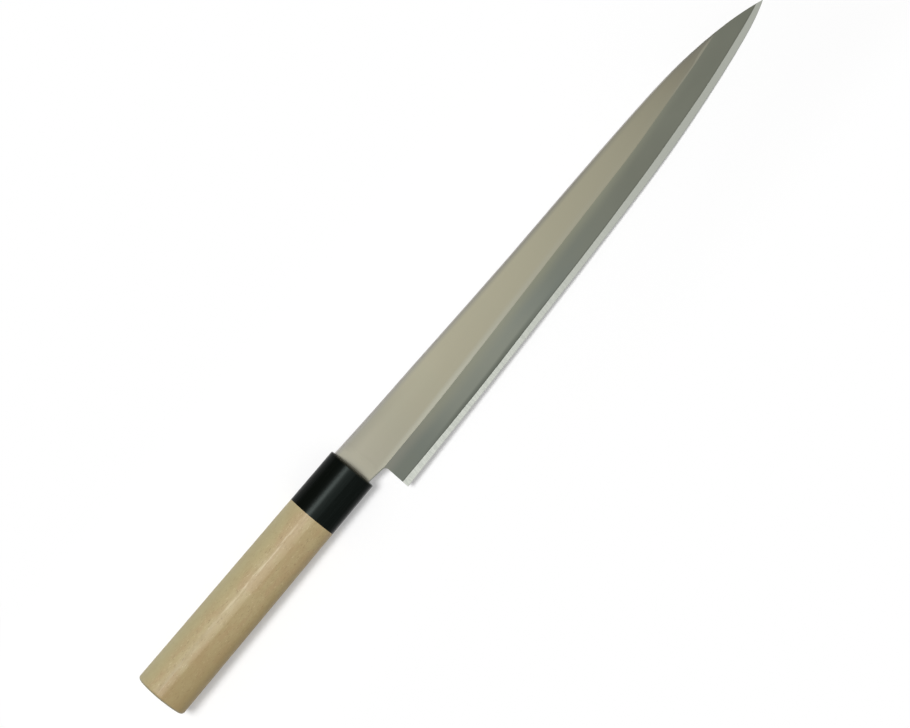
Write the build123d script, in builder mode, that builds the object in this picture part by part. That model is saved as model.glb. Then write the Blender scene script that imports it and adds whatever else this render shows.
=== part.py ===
"""Yanagiba: a long single-bevel slicing knife with a D-shaped wooden handle.

The blade leaves the handle at the origin. +X runs along the handle's axis towards the tip, +Y towards the
spine and +Z out of the bevelled side. The flat back of the blade lies in the plane z = 0. Millimetres.
"""

from build123d import *
from math import asin, atan, cos, pi, radians, sin, sqrt, tan
import os

# The blade seen from its bevelled side
blade_length = 270.8      # heel to tip
neck_length = 9.8         # ferrule to heel, along the cutting edge
neck_top = 10.6           # spine above the handle's axis, at the ferrule
neck_bottom = 9.6         # underside of the neck below the axis, at the ferrule
neck_radius = 2.0         # inside corner where the neck meets the heel
neck_chamfer = 0.5        # along the neck's underside, on the bevelled side
heel_top = 10.9           # that corner below the axis
heel_lean = 0.5           # how far that corner lies in front of the heel's point
heel_drop = 24.4          # edge below the axis, at the heel
tip_drop = 5.2            # tip below the axis
bevel_width = 13.9        # cutting edge to ridge line at the heel, in the blade's plane
spine_chamfer = 0.5

# The blade's thickness and its two steels
neck_thickness = 3.8
tip_thickness = 2.2       # thickness that the flat side would reach at the tip
steel_thickness = 0.6
weld_start = 5.0          # the edge steel begins this far in front of the ferrule
hollow_radius = 400.0     # of the stone that grinds the hollow back
hollow_edge_rim = 1.6
hollow_spine_rim = 1.8
hollow_heel_rim = 6.0
hollow_tip_rim = 14.0

# The tang, in the middle of the neck's thickness
tang_length = 96.0
tang_height = 14.0
tang_end_height = 6.0
tang_thickness = 3.4
tang_end_thickness = 2.4

# The handle's outside, from the ferrule's front face to the butt
handle_length = 135.2
ferrule_length = 28.2
front_height = 24.1
butt_height = 26.0
front_thickness = 19.5
butt_thickness = 21.6
front_ridge_offset = 2.9  # ridge below the axis, towards the edge
butt_ridge_offset = 1.0
ridge_radius = 2.4
flatness = 6.0            # how far the side next to the edge runs straight from the ridge
butt_dome = 1.2
butt_rounding = 1.6
ferrule_rounding = 0.5

# The handle's inside
ferrule_wall = 2.2
ferrule_face = 3.0        # thickness of the ferrule's closed front
seal_thickness = 0.6      # resin round the tang
tenon_play = 0.1
tang_play = 0.1
tang_pocket = 2.0         # empty hole past the tang's end

overrun = 2.0             # how far every cutter runs past what it cuts

# Angle by which the handle's side turns down at the ridge, in degrees
ridge_turn = 14.0

# Shares of the way from ferrule to tip, and of the height between the tip and the neck's top
spine_shares = [(0, 1), (0.1, 0.938), (0.2, 0.902), (0.4, 0.817), (0.58, 0.791), (0.72, 0.75), (0.82, 0.666),
                (0.9, 0.475), (0.96, 0.235), (1, 0)]
# Shares of the way from heel to tip, and of the height between the tip and the heel's edge
edge_shares = [(0, 1), (0.15, 0.943), (0.35, 0.862), (0.55, 0.758), (0.72, 0.624), (0.84, 0.443),
               (0.93, 0.257), (0.97, 0.144), (1, 0)]
# Shares of the way from heel to tip, and of the bevel's width there
bevel_shares = [(0, 1), (0.07, 0.974), (0.14, 0.958), (0.26, 0.973), (0.38, 0.99), (0.52, 1.005), (0.6, 1),
                (0.68, 0.993), (0.76, 0.997), (0.84, 0.943), (0.92, 0.93), (1, 0.93)]
# Shares of the way from the edge steel's start to the tip, and of its thickness
weld_shares = [(0, 1.5), (0.08, 1.27), (0.15, 1.1), (0.26, 0.99), (0.37, 1.06), (0.5, 0.99), (0.61, 1.06),
               (0.73, 1.09), (0.84, 0.985), (0.92, 0.945), (1, 0.57)]
# Places along the hollow, and how deep it is there as a share of its full depth
hollow_shares = [(0, -0.4), (0.05, 0.5), (0.14, 1), (0.35, 1), (0.6, 1), (0.8, 1), (0.92, 0.8), (1, -0.4)]
round_share = 0.5523      # reach of a curve's inner points that makes a quarter of an ellipse
back_share = 0.48         # part of the handle's thickness behind its widest line
side_share = 0.6          # how far up the handle stays upright beside the edge

tip_x = neck_length + blade_length
bevel_reach = 2 * overrun
tang_middle = neck_thickness / 2


def between(start, end, share):
    """Value at a share of the way from start to end."""
    return start + (end - start) * share


def curve_through(shares, start_x, start_y):
    """Plan curve to the tip through shares of the way and of the height."""
    points = [(between(start_x, tip_x, along), between(-tip_drop, start_y, up)) for along, up in shares]
    return Spline(*points)


spine_curve = curve_through(spine_shares, 0, neck_top)
edge_curve = curve_through(edge_shares, neck_length, -heel_drop)
weld_curve = Spline(*[(between(weld_start, tip_x, along), steel_thickness * thick)
                      for along, thick in weld_shares])
flat_side = Line((0, neck_thickness), (tip_x, tip_thickness))


def height_at(curve, x):
    """Height y of a plan curve at x; past its ends the curve runs on straight."""
    if not (curve @ 0).X < x < (curve @ 1).X:
        nearest = 0 if x <= (curve @ 0).X else 1
        end, direction = curve @ nearest, curve % nearest
        return end.Y + (x - end.X) * direction.Y / direction.X
    low, high = 0.0, 1.0
    for _ in range(60):
        middle = (low + high) / 2
        low, high = (middle, high) if (curve @ middle).X < x else (low, middle)
    return (curve @ low).Y


def blade_top(x):
    """Height of the blade's flat side."""
    return height_at(flat_side, x)


def bevel_slice(x, width_share):
    """Triangle that stands on the bevel and holds all that the grinding takes away."""
    edge = height_at(edge_curve, x)
    width = bevel_width * width_share
    slope = blade_top(x) / width
    outer = edge - bevel_reach
    inner = edge + width + bevel_reach
    foot = -bevel_reach * slope
    head = blade_top(x) + bevel_reach * slope
    with BuildSketch(Plane.YZ.offset(x)) as triangle:
        with BuildLine():
            Polyline((outer, foot), (inner, head), (outer, head), close=True)
        make_face()
    return triangle.sketch


def hollow_slice(share, depth_share):
    """Slice of the grinding stone that makes the hollow back; its arc runs on below the back."""
    x = between(neck_length + hollow_heel_rim, tip_x - hollow_tip_rim, share)
    low = height_at(edge_curve, x) + hollow_edge_rim
    high = height_at(spine_curve, x) - hollow_spine_rim
    depth = hollow_radius - sqrt(hollow_radius**2 - ((high - low) / 2) ** 2)
    peak = depth * depth_share
    middle = (low + high) / 2
    reach = sqrt(hollow_radius**2 - (hollow_radius - peak - overrun) ** 2)
    with BuildSketch(Plane.YZ.offset(x)) as stone:
        with BuildLine():
            ThreePointArc((middle - reach, -overrun), (middle, peak), (middle + reach, -overrun))
            Line((middle + reach, -overrun), (middle - reach, -overrun))
        make_face()
    return stone.sketch


def tang_slice(x, margin=0):
    """The tang's rectangle at x, with a margin all round it."""
    share = -x / tang_length
    height = between(tang_height, tang_end_height, share) + 2 * margin
    thickness = between(tang_thickness, tang_end_thickness, share) + 2 * margin
    with BuildSketch(Plane.YZ.offset(x)) as slice_face:
        with Locations((0, tang_middle)):
            Rectangle(height, thickness)
    return slice_face.sketch


def handle_slice(x, inset=0):
    """The handle's outline at x: an oval with a ridge in front and a flatter side towards the edge."""
    share = -x / handle_length
    half = between(front_height, butt_height, share) / 2 - inset
    thickness = between(front_thickness, butt_thickness, share)
    back = thickness * back_share - inset
    front = thickness * (1 - back_share) - inset
    ridge = -between(front_ridge_offset, butt_ridge_offset, share)
    mid = tang_middle
    # The ridge stands on the oval, past its highest line by the lean
    lean = asin(-ridge / half)
    oval_share = tan((pi / 2 + lean) / 4) * 4 / 3
    spine_reach = Vector(half * cos(lean), front * sin(lean))
    edge_slope = atan(spine_reach.Y / spine_reach.X) + radians(ridge_turn)
    edge_way = Vector(-cos(edge_slope), -sin(edge_slope))
    trim = ridge_radius * tan(radians(ridge_turn) / 2)
    top = Vector(ridge, mid + front * cos(lean))
    spine_end = top + spine_reach.normalized() * trim
    edge_end = top + edge_way * trim
    with BuildSketch(Plane.YZ.offset(x)) as outline:
        with BuildLine():
            Bezier((half, mid), (half, mid + oval_share * front), spine_end + spine_reach * oval_share,
                   spine_end)
            Bezier(spine_end, top, edge_end)
            Bezier(edge_end, edge_end + edge_way * flatness, (-half, mid + side_share * front), (-half, mid))
            Bezier((-half, mid), (-half, mid - round_share * back), (-round_share * half, mid - back),
                   (0, mid - back))
            Bezier((0, mid - back), (round_share * half, mid - back), (half, mid - round_share * back),
                   (half, mid))
        make_face()
    return outline.sketch


def plan_outline():
    """Plan of neck and blade, left too wide along the cutting edge by the overrun."""
    spine_end = Vector(tip_x + overrun, height_at(spine_curve, tip_x + overrun))
    blunt_edge = Pos(0, -overrun, 0) * edge_curve
    heel_corner = (neck_length + heel_lean, -heel_top)
    with BuildSketch() as plan:
        with BuildLine():
            add(spine_curve)
            Line(spine_curve @ 1, spine_end)
            Line(spine_end, blunt_edge @ 1)
            add(blunt_edge)
            FilletPolyline(blunt_edge @ 0, heel_corner, (0, -neck_bottom), radius=neck_radius)
            Line((0, -neck_bottom), spine_curve @ 0)
        make_face()
    return plan.sketch


def layer(floor, ceiling):
    """Slab across the blade, from a level floor up to a line or curve in the side view."""
    first, last = ceiling @ 0, ceiling @ 1
    end_x = tip_x + bevel_reach
    with BuildSketch(Plane.XZ.offset(heel_drop + bevel_reach)) as side:
        with BuildLine():
            add(ceiling)
            Polyline(last, (end_x, last.Y), (end_x, floor), (first.X, floor), first)
        make_face()
    return extrude(side.sketch, amount=-(heel_drop + neck_top + 2 * bevel_reach), mode=Mode.PRIVATE)


bevel_slices = [bevel_slice(neck_length - neck_radius - overrun, bevel_shares[0][1])]
bevel_slices += [bevel_slice(between(neck_length, tip_x, along), wide) for along, wide in bevel_shares]
bevel_slices += [bevel_slice(tip_x + bevel_reach, bevel_shares[-1][1])]

with BuildPart() as blade_cladding:
    # The forged bar, as wide as the plan and as thick as the flat side
    add(plan_outline())
    extrude(amount=neck_thickness + overrun)
    add(layer(0, flat_side), mode=Mode.INTERSECT)
    long_edges = blade_cladding.edges().filter_by(lambda edge: edge.length > blade_length / 2)
    chamfer(long_edges.sort_by(Axis.Z)[-2:].sort_by(Axis.Y)[-1], spine_chamfer)
    flat = blade_cladding.faces().sort_by(Axis.Z)[-1]
    # From the ferrule the flat's edges run along the neck, round the corner and down the heel
    chamfer(flat.edges().sort_by(Axis.X)[1:4], neck_chamfer)
    # The broad bevel down to the cutting edge
    loft(bevel_slices, mode=Mode.SUBTRACT)
    # The bed of the edge steel
    add(layer(-overrun, weld_curve), mode=Mode.SUBTRACT)
    # The tang
    loft([tang_slice(0), tang_slice(-tang_length)], ruled=True)

with BuildPart() as edge_steel:
    add(plan_outline())
    extrude(amount=neck_thickness + overrun)
    add(layer(0, weld_curve), mode=Mode.INTERSECT)
    loft(bevel_slices, mode=Mode.SUBTRACT)
    # The hollow back, which leaves a flat rim all round
    loft([hollow_slice(share, depth_share) for share, depth_share in hollow_shares], mode=Mode.SUBTRACT)

with BuildPart() as ferrule:
    loft([handle_slice(0), handle_slice(-ferrule_length)], ruled=True)
    fillet(ferrule.faces().sort_by(Axis.X)[-1].edges(), ferrule_rounding)
    # Bore for the handle's tenon
    loft([handle_slice(-ferrule_face, ferrule_wall), handle_slice(-ferrule_length - overrun, ferrule_wall)],
         ruled=True, mode=Mode.SUBTRACT)
    # Slot for the tang and its seal
    loft([tang_slice(overrun, seal_thickness), tang_slice(-ferrule_face - overrun, seal_thickness)],
         ruled=True, mode=Mode.SUBTRACT)

with BuildPart() as tang_seal:
    loft([tang_slice(0, seal_thickness), tang_slice(-ferrule_face, seal_thickness)], ruled=True)
    loft([tang_slice(overrun), tang_slice(-ferrule_face - overrun)], ruled=True, mode=Mode.SUBTRACT)

with BuildPart() as handle:
    loft([handle_slice(-ferrule_length), handle_slice(-handle_length)], ruled=True)
    # Domed butt: everything outside a shallow bowl is taken off
    rim = butt_height / 2 + overrun
    with BuildSketch(Plane.XY.offset(tang_middle)):
        with BuildLine():
            dome_start = (-handle_length, 0)
            dome_end = (-handle_length + butt_dome, rim)
            bowl = RadiusArc(dome_end, dome_start, rim**2 / (2 * butt_dome))
            Polyline(bowl @ 1, (-handle_length - overrun, 0), (-handle_length - overrun, rim), bowl @ 0)
        make_face()
    revolve(axis=Axis((0, 0, tang_middle), (1, 0, 0)), mode=Mode.SUBTRACT)
    fillet(handle.faces().sort_by(Axis.X)[0].edges(), butt_rounding)
    # Tenon into the ferrule
    loft([handle_slice(-ferrule_length, ferrule_wall + tenon_play),
          handle_slice(-ferrule_face - tenon_play, ferrule_wall + tenon_play)], ruled=True)
    # Burned-in hole for the tang
    loft([tang_slice(0, tang_play), tang_slice(-tang_length - tang_pocket, tang_play)], ruled=True,
         mode=Mode.SUBTRACT)

os.makedirs("parts", exist_ok=True)

blade_cladding.part.label = "blade_cladding"
export_step(blade_cladding.part, "parts/blade_cladding.step")

edge_steel.part.label = "edge_steel"
export_step(edge_steel.part, "parts/edge_steel.step")

ferrule.part.label = "ferrule"
export_step(ferrule.part, "parts/ferrule.step")

tang_seal.part.label = "tang_seal"
export_step(tang_seal.part, "parts/tang_seal.step")

handle.part.label = "handle"
export_step(handle.part, "parts/handle.step")
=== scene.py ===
"""Looks of a yanagiba: satin clad blade, bright edge steel, black ferrule and pale magnolia handle.

The frame is the knife's own: +X runs to the tip, +Y to the spine and +Z out of the bevelled side. Metres.
"""
import math

import bpy
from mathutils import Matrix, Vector
from mathutils.bvhtree import BVHTree


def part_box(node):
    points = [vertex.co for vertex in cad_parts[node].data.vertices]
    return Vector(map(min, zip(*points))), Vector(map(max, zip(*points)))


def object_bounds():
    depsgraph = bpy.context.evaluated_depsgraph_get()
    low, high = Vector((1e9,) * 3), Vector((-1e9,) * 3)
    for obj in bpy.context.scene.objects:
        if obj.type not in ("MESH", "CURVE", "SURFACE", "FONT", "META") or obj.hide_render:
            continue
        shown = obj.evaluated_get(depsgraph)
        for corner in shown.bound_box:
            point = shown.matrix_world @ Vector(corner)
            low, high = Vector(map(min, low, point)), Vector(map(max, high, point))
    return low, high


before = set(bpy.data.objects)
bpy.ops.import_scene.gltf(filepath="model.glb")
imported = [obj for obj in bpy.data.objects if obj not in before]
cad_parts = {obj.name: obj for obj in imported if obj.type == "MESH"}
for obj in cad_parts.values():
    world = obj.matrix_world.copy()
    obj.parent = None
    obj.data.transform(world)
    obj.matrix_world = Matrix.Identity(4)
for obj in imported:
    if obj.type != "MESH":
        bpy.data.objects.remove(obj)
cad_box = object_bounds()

MM = 0.001

# The photograph: what lies at its middle, how the knife is turned in it, and its scale
PHOTO_WIDTH = 910
MIDDLE = Vector((65.7 * MM, -4.95 * MM, 0))
TURN = math.radians(49.86)
MM_PER_PIXEL = 0.45038
CAMERA_DISTANCE = 1.567

# The light, read from the shadow: it leans to the spine and a little to the butt
KEY_WAY = Vector((-0.18, 0.25, 1))
KEY_DISTANCE = 3.0
KEY_SIZE = 0.8
KEY_POWER = 74
ROOM_STRENGTH = 0.23

# The floor: under the knife it is lit and keeps the shadow, and away from it it glows white to the eye
FLOOR_SIZE = 20
FLOOR_WHITENING = 0.3                 # share of that glow under the knife
GLOW_BESIDE = (40 * MM, 80 * MM)      # distances from the knife's axis over which the share grows to 1
GLOW_BEYOND = (225 * MM, 275 * MM)    # the same, lengthwise from the middle of the knife

# Places along the knife that the finishes follow
TIP_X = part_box("edge_steel")[1][0]
HEEL_X = 10 * MM
CLADDING_END_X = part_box("blade_cladding")[1][0]

# How the spine, the ridge and the weld line are found: straight lines are sent at the cladding
STATIONS = 20                         # places along the blade
PAST_HEEL = 1 * MM                    # the first one, in front of the heel
SHORT_OF_END = 14 * MM                # the last one, behind the cladding's end
HALVINGS = 20                         # steps in which a line is closed in on at each of them
START_DISTANCE = 50 * MM              # well outside the knife
SPINE_HEIGHT = 1 * MM                 # height at which the spine is met
SPINE_MARGIN = 0.6 * MM               # chamfered strip along the spine, left out
BEVEL_FACING = -0.1                   # y of the way the bevel faces is below this, the flat's is above

WHITE = (1, 1, 1, 1)
SMOKY_GREEN = (0.86, 1.0, 0.95, 1.0)    # tint of the ferrule's sheen


def shade(red, green, blue):
    """Linear colour of a screen colour given from 0 to 255."""
    parts = [value / 255 for value in (red, green, blue)]
    linear = [part / 12.92 if part <= 0.04045 else ((part + 0.055) / 1.055) ** 2.4 for part in parts]
    return (*linear, 1.0)


class Wire:
    """An output socket of a finish. Sums and products of wires and numbers become Math nodes."""

    def __init__(self, finish, socket):
        self.finish = finish
        self.socket = socket

    def __add__(self, other):
        return self.finish.math("ADD", self, other)

    def __radd__(self, other):
        return self.finish.math("ADD", other, self)

    def __sub__(self, other):
        return self.finish.math("SUBTRACT", self, other)

    def __rsub__(self, other):
        return self.finish.math("SUBTRACT", other, self)

    def __mul__(self, other):
        return self.finish.math("MULTIPLY", self, other)

    def __rmul__(self, other):
        return self.finish.math("MULTIPLY", other, self)

    def __truediv__(self, other):
        return self.finish.math("DIVIDE", self, other)


class Finish:
    """A material in the making, with the few kinds of node that the knife's finishes need."""

    def __init__(self, name):
        self.material = bpy.data.materials.new(name)
        self.material.use_nodes = True
        self.tree = self.material.node_tree
        self.tree.nodes.clear()
        self.place = self.node("ShaderNodeTexCoord", {}, {}, "Object")
        self.x, self.y, self.z = self.split(self.place)
        facing = self.node("ShaderNodeNewGeometry", {}, {}, "Normal")
        self.facing_x, self.facing_y, self.facing_z = self.split(facing)

    def node(self, kind, settings, inputs, output=0):
        """A node of any kind: its settings first, then the values or wires of its sockets."""
        made = self.tree.nodes.new(kind)
        for name, value in settings.items():
            if name == "curve":
                self.set_curve(made.mapping, value)
            else:
                setattr(made, name, value)
        for name, value in inputs.items():
            if isinstance(value, Wire):
                self.tree.links.new(value.socket, made.inputs[name])
            else:
                made.inputs[name].default_value = value
        return Wire(self, made.outputs[output]) if made.outputs else made

    def math(self, operation, *values):
        """A Math node on wires and numbers."""
        return self.node("ShaderNodeMath", {"operation": operation}, dict(enumerate(values)))

    def set_curve(self, mapping, points):
        """Runs a curve through points that lie between 0 and 1 both ways."""
        curve = mapping.curves[0]
        curve.points[0].location, curve.points[-1].location = points[0], points[-1]
        for point in points[1:-1]:
            curve.points.new(*point)
        mapping.update()

    def split(self, vector):
        """The three parts of a vector."""
        parts = self.node("ShaderNodeSeparateXYZ", {}, {"Vector": vector})
        return [Wire(self, socket) for socket in parts.socket.node.outputs]

    def grain(self, along, across, depth, detail, roughness=0.5, shift=(0, 0, 0)):
        """Cloudy values around a half, in grains of the given length, width and depth, in metres."""
        scale = (1 / along, 1 / across, 1 / depth)
        vector = self.node("ShaderNodeMapping", {}, {"Vector": self.place, "Location": shift, "Scale": scale})
        return self.node("ShaderNodeTexNoise", {}, {"Vector": vector, "Scale": 1.0, "Detail": detail,
                                                    "Roughness": roughness})

    def ramp(self, value, low, high, start=0.0, end=1.0):
        """Value between low and high spread smoothly from start to end."""
        return self.node("ShaderNodeMapRange", {"interpolation_type": "SMOOTHSTEP"},
                         {"Value": value, "From Min": low, "From Max": high, "To Min": start, "To Max": end})

    def line(self, points):
        """Value along the blade, through points of x and value."""
        first, last = points[0][0], points[-1][0]
        values = [value for _, value in points]
        low, high = min(values), max(values)
        curve = [((x - first) / (last - first), (value - low) / (high - low)) for x, value in points]
        share = (self.x - first) / (last - first)
        return low + (high - low) * self.node("ShaderNodeFloatCurve", {"curve": curve}, {"Value": share})

    def mix(self, amount, first, second):
        """Colour between two colours."""
        return self.node("ShaderNodeMix", {"data_type": "RGBA"}, {0: amount, 6: first, 7: second}, 2)

    def bump(self, height, strength, distance):
        """Normal of a surface raised by the height times the distance."""
        return self.node("ShaderNodeBump", {}, {"Height": height, "Strength": strength, "Distance": distance})

    def surface(self, **sockets):
        """Ends the finish with a Principled shader; socket names are written with underscores."""
        inputs = {name.replace("_", " "): value for name, value in sockets.items()}
        shader = self.node("ShaderNodeBsdfPrincipled", {}, inputs)
        self.node("ShaderNodeOutputMaterial", {}, {"Surface": shader})
        return self.material


def probe(node):
    """A CAD node's surface, to be met by straight lines."""
    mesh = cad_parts[node].data
    return BVHTree.FromPolygons([vertex.co for vertex in mesh.vertices],
                                [face.vertices for face in mesh.polygons])


def blade_lines():
    """The spine's and the ridge's y, and the weld's z, from the heel to the tip."""
    cladding = probe("blade_cladding")
    first, last = HEEL_X + PAST_HEEL, CLADDING_END_X - SHORT_OF_END
    spine, ridge, weld = [], [], []
    for station in range(STATIONS):
        x = first + (last - first) * station / (STATIONS - 1)
        spine_y = cladding.ray_cast(Vector((x, START_DISTANCE, SPINE_HEIGHT)), Vector((0, -1, 0)))[0].y
        top = spine_y - SPINE_MARGIN
        spine.append((x, spine_y))
        ridge.append((x, lowest(cladding, x, top, lambda facing: facing.y > BEVEL_FACING).y))
        weld.append((x, lowest(cladding, x, top, lambda facing: True).z))
    return spine, ridge, weld


def lowest(cladding, x, top, belongs):
    """Seen from above, the lowest point of the cladding at x whose facing belongs to what is sought."""
    low, high = cad_box[0][1], top
    for _ in range(HALVINGS):
        middle = (low + high) / 2
        point, facing = met_from_above(cladding, x, middle)
        if point and belongs(facing):
            high = middle
        else:
            low = middle
    return met_from_above(cladding, x, high)[0]


def met_from_above(cladding, x, y):
    """Where a line straight down meets the cladding, and which way it faces there."""
    return cladding.ray_cast(Vector((x, y, START_DISTANCE)), Vector((0, 0, -1)))[:2]


def satin_cladding(spine_line, ridge_line, weld_line):
    """Soft iron cladding: satin flat side, hazy ground bevel with a dark weld line, polished spine."""
    finish = Finish("satin_cladding")
    bevel = finish.ramp(finish.facing_y, -0.05, -0.12)
    spine = finish.ramp(finish.facing_y, 0.3, 0.6)
    under_spine = finish.line(spine_line) - finish.y
    over_ridge = finish.y - finish.line(ridge_line)
    over_weld = finish.z - finish.line(weld_line)

    # The flat: brushed and clouded, paler along the ridge, painted light and shade along its length
    brushing = finish.grain(30 * MM, 0.09 * MM, 1 * MM, 3.0, 0.6)
    clouds = finish.grain(16 * MM, 40 * MM, 10 * MM, 2.0)
    tarnish = finish.grain(30 * MM, 8 * MM, 10 * MM, 3.0, shift=(3, 1, 0))
    flat_colour = finish.mix(clouds, shade(166, 160, 139), shade(157, 158, 138))
    flat_colour = finish.mix(0.5 * tarnish, flat_colour, shade(154, 146, 124))
    # Painted light in the middle of its length, painted shade towards the tip
    paler = finish.ramp(finish.x, 10 * MM, 140 * MM) * finish.ramp(finish.x, 262 * MM, 175 * MM)
    flat_colour = finish.mix(paler, flat_colour, shade(181, 177, 153))
    darker_tip = finish.ramp(finish.x, 215 * MM, 262 * MM)
    flat_colour = finish.mix(darker_tip, flat_colour, shade(146, 143, 127))
    beside_ridge = finish.ramp(over_ridge, 3.2 * MM, 0.6 * MM)
    beside_ridge = beside_ridge * finish.ramp(finish.x, 200 * MM, 60 * MM, 0.1, 0.75)
    flat_colour = finish.mix(beside_ridge, flat_colour, shade(184, 184, 169))

    # Its heel and its dull neck, the dim strip under the spine, and the glint of the ridge near the tip
    near_heel = finish.ramp(finish.x, 60 * MM, -5 * MM)
    dull_neck = finish.ramp(finish.x, 8 * MM, 1.5 * MM)
    # Painted shade: the flat darker towards the heel
    heel_colour = finish.mix(dull_neck, shade(150, 147, 131), shade(166, 163, 144))
    flat_colour = finish.mix(near_heel * (1 - 0.4 * beside_ridge), flat_colour, heel_colour)
    heel_top = near_heel * finish.ramp(under_spine, 7.5 * MM, 1.4 * MM) * (1 - dull_neck)
    flat_colour = finish.mix(0.65 * heel_top, flat_colour, shade(126, 124, 112))
    darker_top = finish.ramp(under_spine, 2.8 * MM, 0.7 * MM)
    darker_top = darker_top * finish.ramp(finish.x, 220 * MM, 150 * MM, 0.2, 0.6)
    flat_colour = finish.mix(darker_top, flat_colour, shade(140, 139, 135))
    ridge_glint = finish.ramp(over_ridge, 0.75 * MM, 0.3 * MM) * finish.ramp(finish.x, 212 * MM, 228 * MM)
    flat_colour = finish.mix(0.85 * ridge_glint, flat_colour, shade(176, 174, 156))

    # The bevel: hazy and scratched across, warmer at its top, brightest a little in front of the heel
    haze = finish.grain(22 * MM, 9 * MM, 10 * MM, 3.0, shift=(5, 2, 0))
    scratches = finish.grain(0.16 * MM, 4 * MM, 1 * MM, 3.0, 0.6)
    bevel_colour = finish.mix(haze, shade(158, 166, 158), shade(155, 159, 144))
    duller_front = finish.ramp(finish.x, 100 * MM, 190 * MM)
    bevel_colour = finish.mix(duller_front, bevel_colour, shade(146, 149, 135))
    warmer_top = finish.ramp(over_weld, 1.2 * MM, 2.8 * MM)
    warmer_top = warmer_top * finish.ramp(finish.x, 245 * MM, 195 * MM, 0.35, 1.0)
    from_heel = finish.ramp(finish.x, 15 * MM, 60 * MM)
    top_colour = finish.mix(from_heel, shade(176, 177, 164), shade(176, 177, 155))
    bevel_colour = finish.mix(warmer_top, bevel_colour, top_colour)
    ground_bright = finish.ramp(finish.x, 20 * MM, 60 * MM) * finish.ramp(finish.x, 130 * MM, 85 * MM)
    upper = finish.ramp(over_weld, 0.16 * MM, 0.6 * MM)
    bevel_colour = finish.mix(0.37 * ground_bright * upper, bevel_colour, shade(202, 205, 188))
    bevel_colour = finish.mix(0.45 * ground_bright * (1 - upper), bevel_colour, shade(122, 127, 113))

    # The dark weld line, which wavers a little
    waver = finish.grain(1.2 * MM, 1.2 * MM, 5 * MM, 3.0, 0.6, shift=(7, 0, 0))
    above_weld = over_weld + (waver - 0.5) * 0.16 * MM
    dark_line = finish.ramp(above_weld, 0.15 * MM, 0.04 * MM)
    dark_line = dark_line * finish.ramp(finish.x, 230 * MM, 100 * MM, 0.25, 0.55)
    bevel_colour = finish.mix(dark_line, bevel_colour, shade(104, 107, 99))

    # Flat, bevel and spine together
    colour = finish.mix(bevel, flat_colour, bevel_colour)
    spine_end = finish.ramp(finish.x, 215 * MM, 248 * MM)
    spine_colour = finish.mix(spine_end, shade(186, 182, 176), shade(118, 117, 106))
    colour = finish.mix(spine, colour, spine_colour)
    roughness = 0.18 + 0.03 * brushing + bevel * (0.22 + 0.06 * haze) + 0.1 * spine
    marks = brushing + bevel * (scratches - brushing)
    normal = finish.bump(marks, 0.15, 0.004 * MM)
    metallic = 0.6 + 0.35 * bevel - 0.6 * dull_neck * (1 - bevel)
    return finish.surface(Base_Color=colour, Metallic=metallic, Roughness=roughness, Normal=normal)


def bright_edge_steel():
    """Hard edge steel: a bright stone-polished band in front and the hollow back behind."""
    finish = Finish("bright_edge_steel")
    back = finish.ramp(finish.facing_z, 0.2, -0.2)
    stone = finish.grain(0.3 * MM, 3 * MM, 1 * MM, 3.0, 0.6)
    wheel = finish.grain(12 * MM, 0.2 * MM, 5 * MM, 3.0, 0.6)
    clouds = finish.grain(18 * MM, 6 * MM, 10 * MM, 2.0)

    # The band: streaked across, dimmer to the tip in painted shade, and dimmer along the very edge
    streaks = finish.ramp(finish.grain(0.5 * MM, 5 * MM, 1 * MM, 3.0, shift=(4, 0, 0)), 0.4, 0.62)
    band_colour = finish.mix(clouds, shade(240, 243, 234), shade(230, 234, 223))
    band_colour = finish.mix(0.5 * streaks, band_colour, shade(204, 209, 201))
    # Painted shade towards the tip
    towards_tip = finish.ramp(finish.x, 0.1 * TIP_X, 0.8 * TIP_X)
    band_colour = finish.mix(towards_tip, band_colour, shade(187, 190, 180))
    along_edge = finish.ramp(finish.z, 0.06 * MM, 0.01 * MM, 0.0, 0.5)
    band_colour = finish.mix(along_edge, band_colour, shade(140, 142, 136))

    # The back, and both together
    back_colour = finish.mix(clouds, shade(196, 196, 190), shade(186, 186, 180))
    colour = finish.mix(back, band_colour, back_colour)
    roughness = 0.5 + 0.08 * stone - back * (0.2 + 0.08 * stone) + 0.08 * back * wheel
    marks = stone + back * (wheel - stone)
    normal = finish.bump(marks, 0.2, 0.01 * MM)
    metallic = 0.55 + 0.45 * back
    return finish.surface(Base_Color=colour, Metallic=metallic, Roughness=roughness, Normal=normal)


def black_ferrule():
    """Satin black ferrule with faint streaks, painted shade and sheen, and a painted highlight on its rim."""
    finish = Finish("black_ferrule")
    streaks = finish.grain(12 * MM, 0.7 * MM, 0.7 * MM, 3.0)
    rim = finish.ramp(finish.facing_x, 0.05, 0.3)
    face = finish.ramp(finish.facing_x, 0.45, 0.75)
    colour = finish.mix(streaks, shade(12, 15, 12), shade(20, 25, 23))
    # Painted shade above the ridge and a painted sheen below it
    over_ridge = finish.ramp(finish.facing_y, 0.08, 0.25)
    colour = finish.mix(0.8 * over_ridge, colour, shade(5, 7, 4))
    sheen_under_ridge = finish.ramp(finish.facing_y, 0.05, -0.05) * finish.ramp(finish.facing_y, -0.5, -0.2)
    colour = finish.mix(0.6 * sheen_under_ridge, colour, shade(32, 37, 35))
    # Painted highlight on the rounded front rim
    colour = finish.mix(0.6 * (rim - face), colour, shade(52, 50, 38))
    roughness = 0.24 + 0.06 * streaks
    normal = finish.bump(streaks, 0.08, 0.02 * MM)
    return finish.surface(Base_Color=colour, Roughness=roughness, Specular_IOR_Level=0.062, Normal=normal,
                          Specular_Tint=SMOKY_GREEN)


def dark_resin():
    """Resin round the tang."""
    finish = Finish("dark_resin")
    clouds = finish.grain(2 * MM, 2 * MM, 2 * MM, 2.0)
    colour = finish.mix(clouds, shade(38, 32, 26), shade(52, 44, 36))
    return finish.surface(Base_Color=colour, Roughness=0.3 + 0.2 * clouds)


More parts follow.
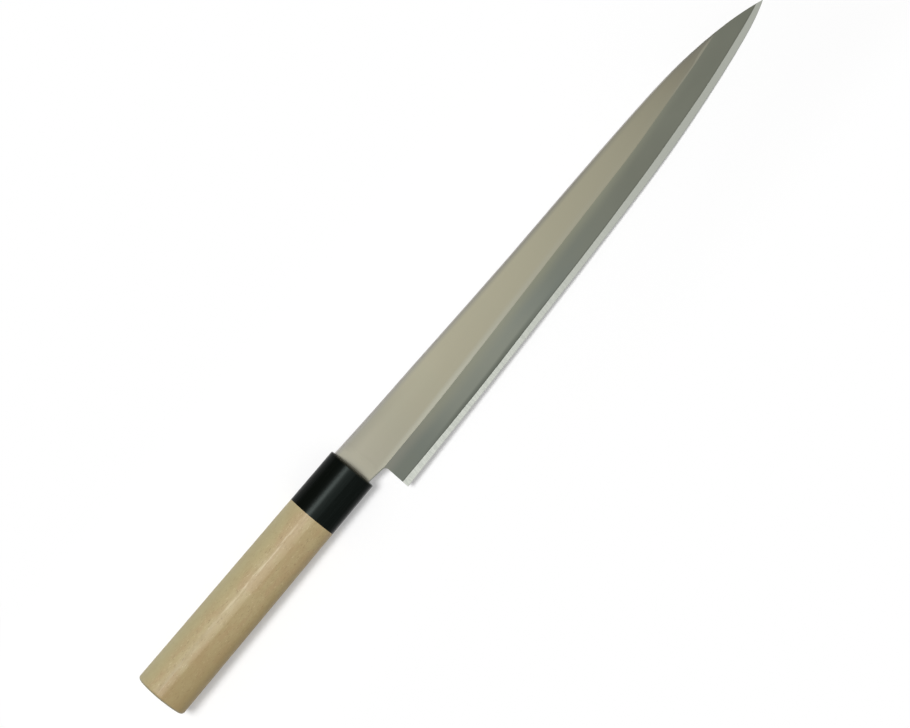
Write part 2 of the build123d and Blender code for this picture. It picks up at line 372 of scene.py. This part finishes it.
def pale_magnolia():
    """Bare magnolia: pale, faintly green, fine straight grain, small flecks, painted light and shade."""
    finish = Finish("pale_magnolia")

    # The wood itself
    fibres = finish.grain(9 * MM, 0.22 * MM, 0.22 * MM, 4.0, 0.6)
    bands = finish.grain(70 * MM, 2.4 * MM, 2.4 * MM, 3.0)
    clouds = finish.grain(14 * MM, 6 * MM, 6 * MM, 2.0)
    flecks = finish.ramp(finish.grain(1.8 * MM, 0.35 * MM, 0.35 * MM, 2.0), 0.6, 0.7)
    specks = finish.ramp(finish.grain(1.4 * MM, 0.4 * MM, 0.4 * MM, 2.0, shift=(0, 5, 0)), 0.62, 0.7)
    patches = finish.ramp(finish.grain(7 * MM, 3 * MM, 3 * MM, 3.0, shift=(9, 0, 0)), 0.4, 0.6)
    blush = finish.ramp(finish.grain(16 * MM, 5 * MM, 5 * MM, 2.0, shift=(0, 0, 6)), 0.45, 0.6)
    colour = finish.mix(bands, shade(182, 163, 123), shade(175, 156, 114))
    colour = finish.mix(0.5 * clouds, colour, shade(172, 161, 121))
    colour = finish.mix(0.7 * patches, colour, shade(184, 170, 129))
    colour = finish.mix(0.6 * blush, colour, shade(176, 150, 113))
    colour = finish.mix(0.35 * fibres, colour, shade(154, 133, 92))
    colour = finish.mix(0.6 * flecks, colour, shade(128, 108, 74))
    colour = finish.mix(0.5 * specks, colour, shade(210, 196, 160))

    # Its sides in painted shade: dimmer to the spine, browner underneath
    spine_side = finish.ramp(finish.facing_y, 0.2, 0.8, 0.0, 0.7)
    colour = finish.mix(spine_side, colour, shade(167, 159, 122))
    shaded = finish.ramp(finish.facing_y, -0.4, -0.9) * finish.ramp(finish.x, -35 * MM, -75 * MM, 0.25, 0.7)
    colour = finish.mix(shaded, colour, shade(158, 136, 86))

    # Painted light on the crest of the D and on the wood below it; the lower side darker towards the butt
    waver = finish.grain(5 * MM, 9 * MM, 9 * MM, 3.0, shift=(0, 8, 0))
    border = finish.facing_y + 0.12 * (waver - 0.5)
    crest = finish.ramp(border, -0.26, -0.18) * finish.ramp(finish.facing_y, 0.15, 0.02)
    crest = crest * finish.ramp(finish.x, -130 * MM, -80 * MM, 0.05, 0.25)
    colour = finish.mix(crest, colour, shade(206, 188, 150))
    below_crest = finish.ramp(finish.facing_y, -0.2, -0.26) * finish.ramp(finish.facing_y, -0.75, -0.4)
    colour = finish.mix(0.2 * below_crest, colour, shade(196, 173, 130))
    darker_rear = finish.ramp(finish.facing_y, 0.1, -0.3) * finish.ramp(finish.x, -60 * MM, -135 * MM)
    colour = finish.mix(0.45 * darker_rear, colour, shade(156, 135, 91))

    # The pale line along the crest, a painted highlight in rubbed dashes, and the end grain of the butt
    rubbed_and_highlight = finish.ramp(finish.grain(7 * MM, 0.8 * MM, 4 * MM, 3.0, shift=(2, 0, 0)), 0.42, 0.58)
    pale_line = finish.ramp(finish.facing_y, 0.09, 0.14) * finish.ramp(finish.facing_y, 0.22, 0.17)
    highlight_amount = (0.3 + 0.7 * rubbed_and_highlight) * finish.ramp(finish.x, -110 * MM, -65 * MM, 0.0, 0.6)
    highlight_amount = highlight_amount * finish.ramp(finish.x, -20 * MM, -62 * MM, 0.5, 1.0)
    colour = finish.mix(pale_line * highlight_amount, colour, shade(213, 198, 163))
    # Painted shade over the pale line towards the rear
    painted_shade_rear = pale_line * finish.ramp(finish.x, -80 * MM, -105 * MM, 0.0, 0.35)
    colour = finish.mix(painted_shade_rear, colour, shade(162, 145, 108))
    end_grain = finish.ramp(finish.facing_x, -0.25, -0.8, 0.0, 0.6)
    colour = finish.mix(end_grain, colour, shade(104, 108, 88))
    roughness = 0.48 + 0.1 * fibres
    normal = finish.bump(fibres, 0.3, 0.03 * MM)
    return finish.surface(Base_Color=colour, Roughness=roughness, Specular_IOR_Level=0.32, Normal=normal,
                          Coat_Weight=0.06 * rubbed_and_highlight, Coat_Roughness=0.3)


def dress(node, material):
    """Gives a CAD node its finish."""
    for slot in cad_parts[node].material_slots:
        slot.material = material


def resting_floor():
    """White floor under the knife, which rests on its tip and on the ferrule's front rim."""
    tip = Vector((TIP_X, 0, 0))
    rim = [vertex.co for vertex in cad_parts["ferrule"].data.vertices]
    slope = max((tip.z - point.z) / (tip.x - point.x) for point in rim)
    bpy.ops.mesh.primitive_plane_add(size=FLOOR_SIZE, location=tip, rotation=(0, -math.atan(slope), 0))
    floor = bpy.context.object
    floor.name = "floor"
    floor.data.materials.append(white_floor())


def white_floor():
    """Matt white floor that shows white to the camera and in reflections, and keeps shadows."""
    finish = Finish("white_floor")
    seen = finish.node("ShaderNodeLightPath", {}, {}, "Is Camera Ray")
    mirrored = finish.node("ShaderNodeLightPath", {}, {}, "Is Glossy Ray")
    passed = finish.node("ShaderNodeLightPath", {}, {}, "Is Transmission Ray")
    paper = finish.node("ShaderNodeBsdfDiffuse", {}, {"Color": WHITE})
    glow = finish.node("ShaderNodeEmission", {}, {"Color": WHITE, "Strength": 1.0})
    knife_middle = (cad_box[0][0] - TIP_X) / 2    # from the tip, where the floor has its origin
    off_axis = finish.math("ABSOLUTE", finish.y)
    off_middle = finish.math("ABSOLUTE", finish.x - knife_middle)
    beside = finish.ramp(off_axis, *GLOW_BESIDE, FLOOR_WHITENING, 1.0)
    beyond = finish.ramp(off_middle, *GLOW_BEYOND, FLOOR_WHITENING, 1.0)
    share = finish.math("MAXIMUM", beside, beyond) * (seen + mirrored + passed)
    whitened = finish.node("ShaderNodeMixShader", {}, {0: share, 1: paper, 2: glow})
    finish.node("ShaderNodeOutputMaterial", {}, {"Surface": whitened})
    return finish.material


def studio():
    """One soft light and a dim pale room all round."""
    light = bpy.data.lights.new("key", "AREA")
    light.size = KEY_SIZE
    light.energy = KEY_POWER
    holder = bpy.data.objects.new("key", light)
    holder.location = MIDDLE + KEY_WAY.normalized() * KEY_DISTANCE
    holder.rotation_euler = (-KEY_WAY).to_track_quat("-Z", "Y").to_euler()
    bpy.context.scene.collection.objects.link(holder)
    world = bpy.data.worlds.new("pale_room")
    world.use_nodes = True
    background = world.node_tree.nodes["Background"]
    background.inputs["Color"].default_value = WHITE
    background.inputs["Strength"].default_value = ROOM_STRENGTH
    bpy.context.scene.world = world
    bpy.context.scene.view_settings.view_transform = "Standard"


def camera():
    """Camera straight above the knife, turned as in the photograph."""
    lens = bpy.data.cameras.new("camera")
    lens.sensor_fit = "HORIZONTAL"
    lens.angle = 2 * math.atan(PHOTO_WIDTH * MM_PER_PIXEL * MM / 2 / CAMERA_DISTANCE)
    holder = bpy.data.objects.new("camera", lens)
    holder.location = MIDDLE + Vector((0, 0, CAMERA_DISTANCE))
    holder.rotation_euler = (0, 0, -TURN)
    bpy.context.scene.collection.objects.link(holder)
    bpy.context.scene.camera = holder


spine_line, ridge_line, weld_line = blade_lines()
dress("blade_cladding", satin_cladding(spine_line, ridge_line, weld_line))
dress("edge_steel", bright_edge_steel())
dress("ferrule", black_ferrule())
dress("tang_seal", dark_resin())
dress("handle", pale_magnolia())
resting_floor()
studio()
camera()
